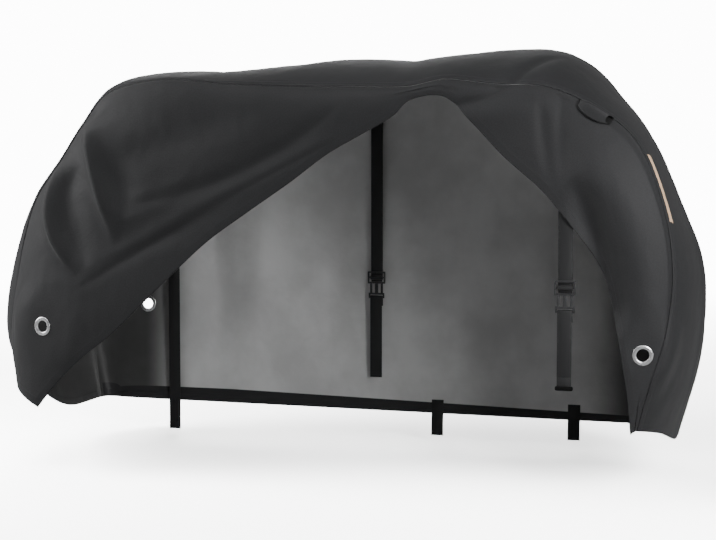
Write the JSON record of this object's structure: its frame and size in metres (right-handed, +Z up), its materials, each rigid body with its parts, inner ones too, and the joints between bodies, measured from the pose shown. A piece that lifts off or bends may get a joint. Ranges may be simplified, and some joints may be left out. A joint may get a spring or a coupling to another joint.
{
  "type": "bicycle cover",
  "caption": "Fitted outdoor cover of coated cloth for bicycles, as it hangs in use with its near side drawn up in an arch; straps with buckles inside, eyelets and grab loops.",
  "frame": {"origin": "the place under the middle of the top where what is covered holds the cover up", "axes": "+X towards the front end, +Z up, -Y towards the side whose hem is drawn up"},
  "size_m": [2.0804, 0.9855, 1.1958],
  "materials": {
    "coated_cloth": "matt fine weave outside, silvery grey coating inside",
    "webbing": "ribbed weave",
    "buckle_plastic": "satin moulded",
    "eyelet_metal": "bright"
  },
  "bodies": {
    "root": {"near_side_panel": "coated_cloth", "top_strip": "coated_cloth", "far_side_panel": "coated_cloth", "near_rear_eyelet": "eyelet_metal", "near_front_eyelet": "eyelet_metal", "far_rear_eyelet": "eyelet_metal", "far_front_eyelet": "eyelet_metal", "near_grab_loop": "webbing", "far_grab_loop": "webbing", "near_strap": "webbing", "near_strap_buckle_frame": "buckle_plastic", "near_strap_buckle_fork": "buckle_plastic", "near_strap_tail": "webbing", "far_strap": "webbing", "far_strap_buckle_frame": "buckle_plastic", "far_strap_buckle_fork": "buckle_plastic", "far_strap_tail": "webbing", "rear_strap": "webbing", "middle_hem_strap": "webbing", "front_hem_strap": "webbing"}
  },
  "joints": []
}
